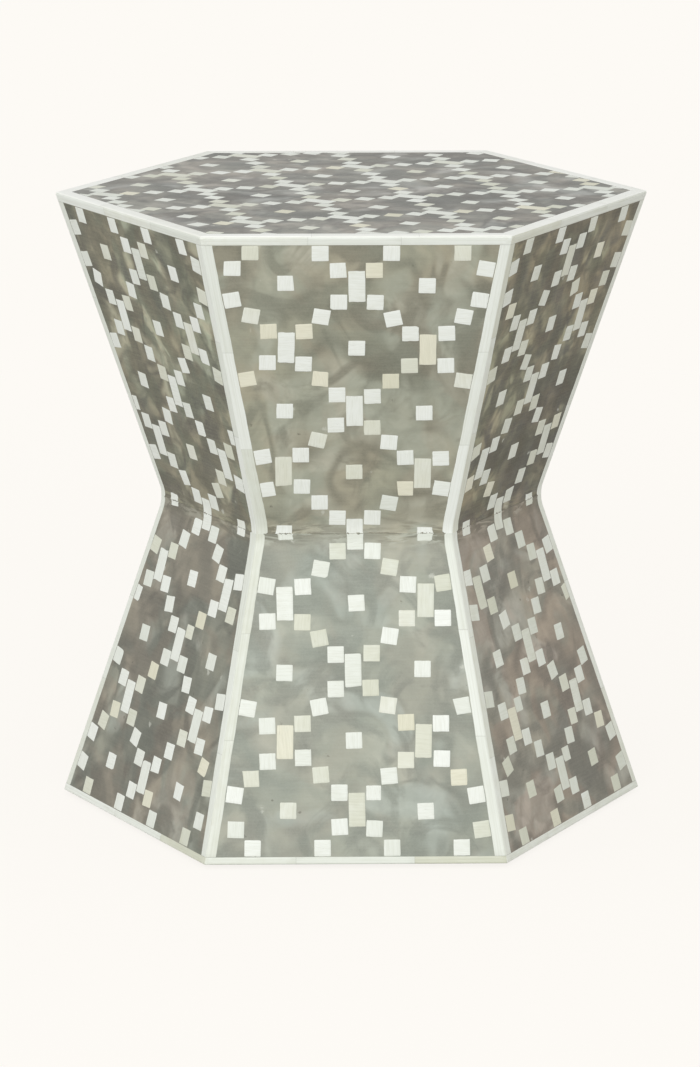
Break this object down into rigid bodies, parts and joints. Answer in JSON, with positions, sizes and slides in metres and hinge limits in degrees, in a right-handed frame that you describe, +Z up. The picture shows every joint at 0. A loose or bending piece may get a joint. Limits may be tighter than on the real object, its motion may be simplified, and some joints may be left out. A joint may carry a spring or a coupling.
{
  "type": "stool",
  "caption": "Waisted six-sided stool or side table, clad all over in square bone tiles and grey resin inlay with bone edge strips.",
  "frame": {"origin": "on the floor, under the middle of the stool", "axes": "+Z up; -Y towards the front side of the picture; +X to the viewer's right, through the corner between the two right-hand sides"},
  "size_m": [0.4342, 0.3762, 0.46],
  "materials": {
    "carcass_wood": "planed and unfinished",
    "base_plywood": "plywood, sanded and clear sealed",
    "block_softwood": "sawn softwood, unfinished",
    "bone": "ground level, hand polished to a soft sheen",
    "grey_resin": "ground level, satin polish",
    "screw_steel": "zinc plated",
    "glide_nylon": "moulded nylon"
  },
  "bodies": {
    "root": {"top_board": "carcass_wood", "top_resin": "grey_resin", "top_bone_tiles": "bone", "top_bone_strips": "bone", "upper_board_front": "carcass_wood", "upper_resin_front": "grey_resin", "upper_bone_tiles_front": "bone", "upper_bone_strips_front": "bone", "upper_board_front_right": "carcass_wood", "upper_resin_front_right": "grey_resin", "upper_bone_tiles_front_right": "bone", "upper_bone_strips_front_right": "bone", "upper_board_back_right": "carcass_wood", "upper_resin_back_right": "grey_resin", "upper_bone_tiles_back_right": "bone", "upper_bone_strips_back_right": "bone", "upper_board_back": "carcass_wood", "upper_resin_back": "grey_resin", "upper_bone_tiles_back": "bone", "upper_bone_strips_back": "bone", "upper_board_back_left": "carcass_wood", "upper_resin_back_left": "grey_resin", "upper_bone_tiles_back_left": "bone", "upper_bone_strips_back_left": "bone", "upper_board_front_left": "carcass_wood", "upper_resin_front_left": "grey_resin", "upper_bone_tiles_front_left": "bone", "upper_bone_strips_front_left": "bone", "lower_board_front": "carcass_wood", "lower_resin_front": "grey_resin", "lower_bone_tiles_front": "bone", "lower_bone_strips_front": "bone", "lower_board_front_right": "carcass_wood", "lower_resin_front_right": "grey_resin", "lower_bone_tiles_front_right": "bone", "lower_bone_strips_front_right": "bone", "lower_board_back_right": "carcass_wood", "lower_resin_back_right": "grey_resin", "lower_bone_tiles_back_right": "bone", "lower_bone_strips_back_right": "bone", "lower_board_back": "carcass_wood", "lower_resin_back": "grey_resin", "lower_bone_tiles_back": "bone", "lower_bone_strips_back": "bone", "lower_board_back_left": "carcass_wood", "lower_resin_back_left": "grey_resin", "lower_bone_tiles_back_left": "bone", "lower_bone_strips_back_left": "bone", "lower_board_front_left": "carcass_wood", "lower_resin_front_left": "grey_resin", "lower_bone_tiles_front_left": "bone", "lower_bone_strips_front_left": "bone", "upper_waist_plate": "carcass_wood", "lower_waist_plate": "carcass_wood", "base_board": "base_plywood", "upper_corner_blocks": "block_softwood", "lower_corner_blocks": "block_softwood", "foot_glides": "glide_nylon", "waist_screws": "screw_steel", "base_screws": "screw_steel"}
  },
  "joints": []
}
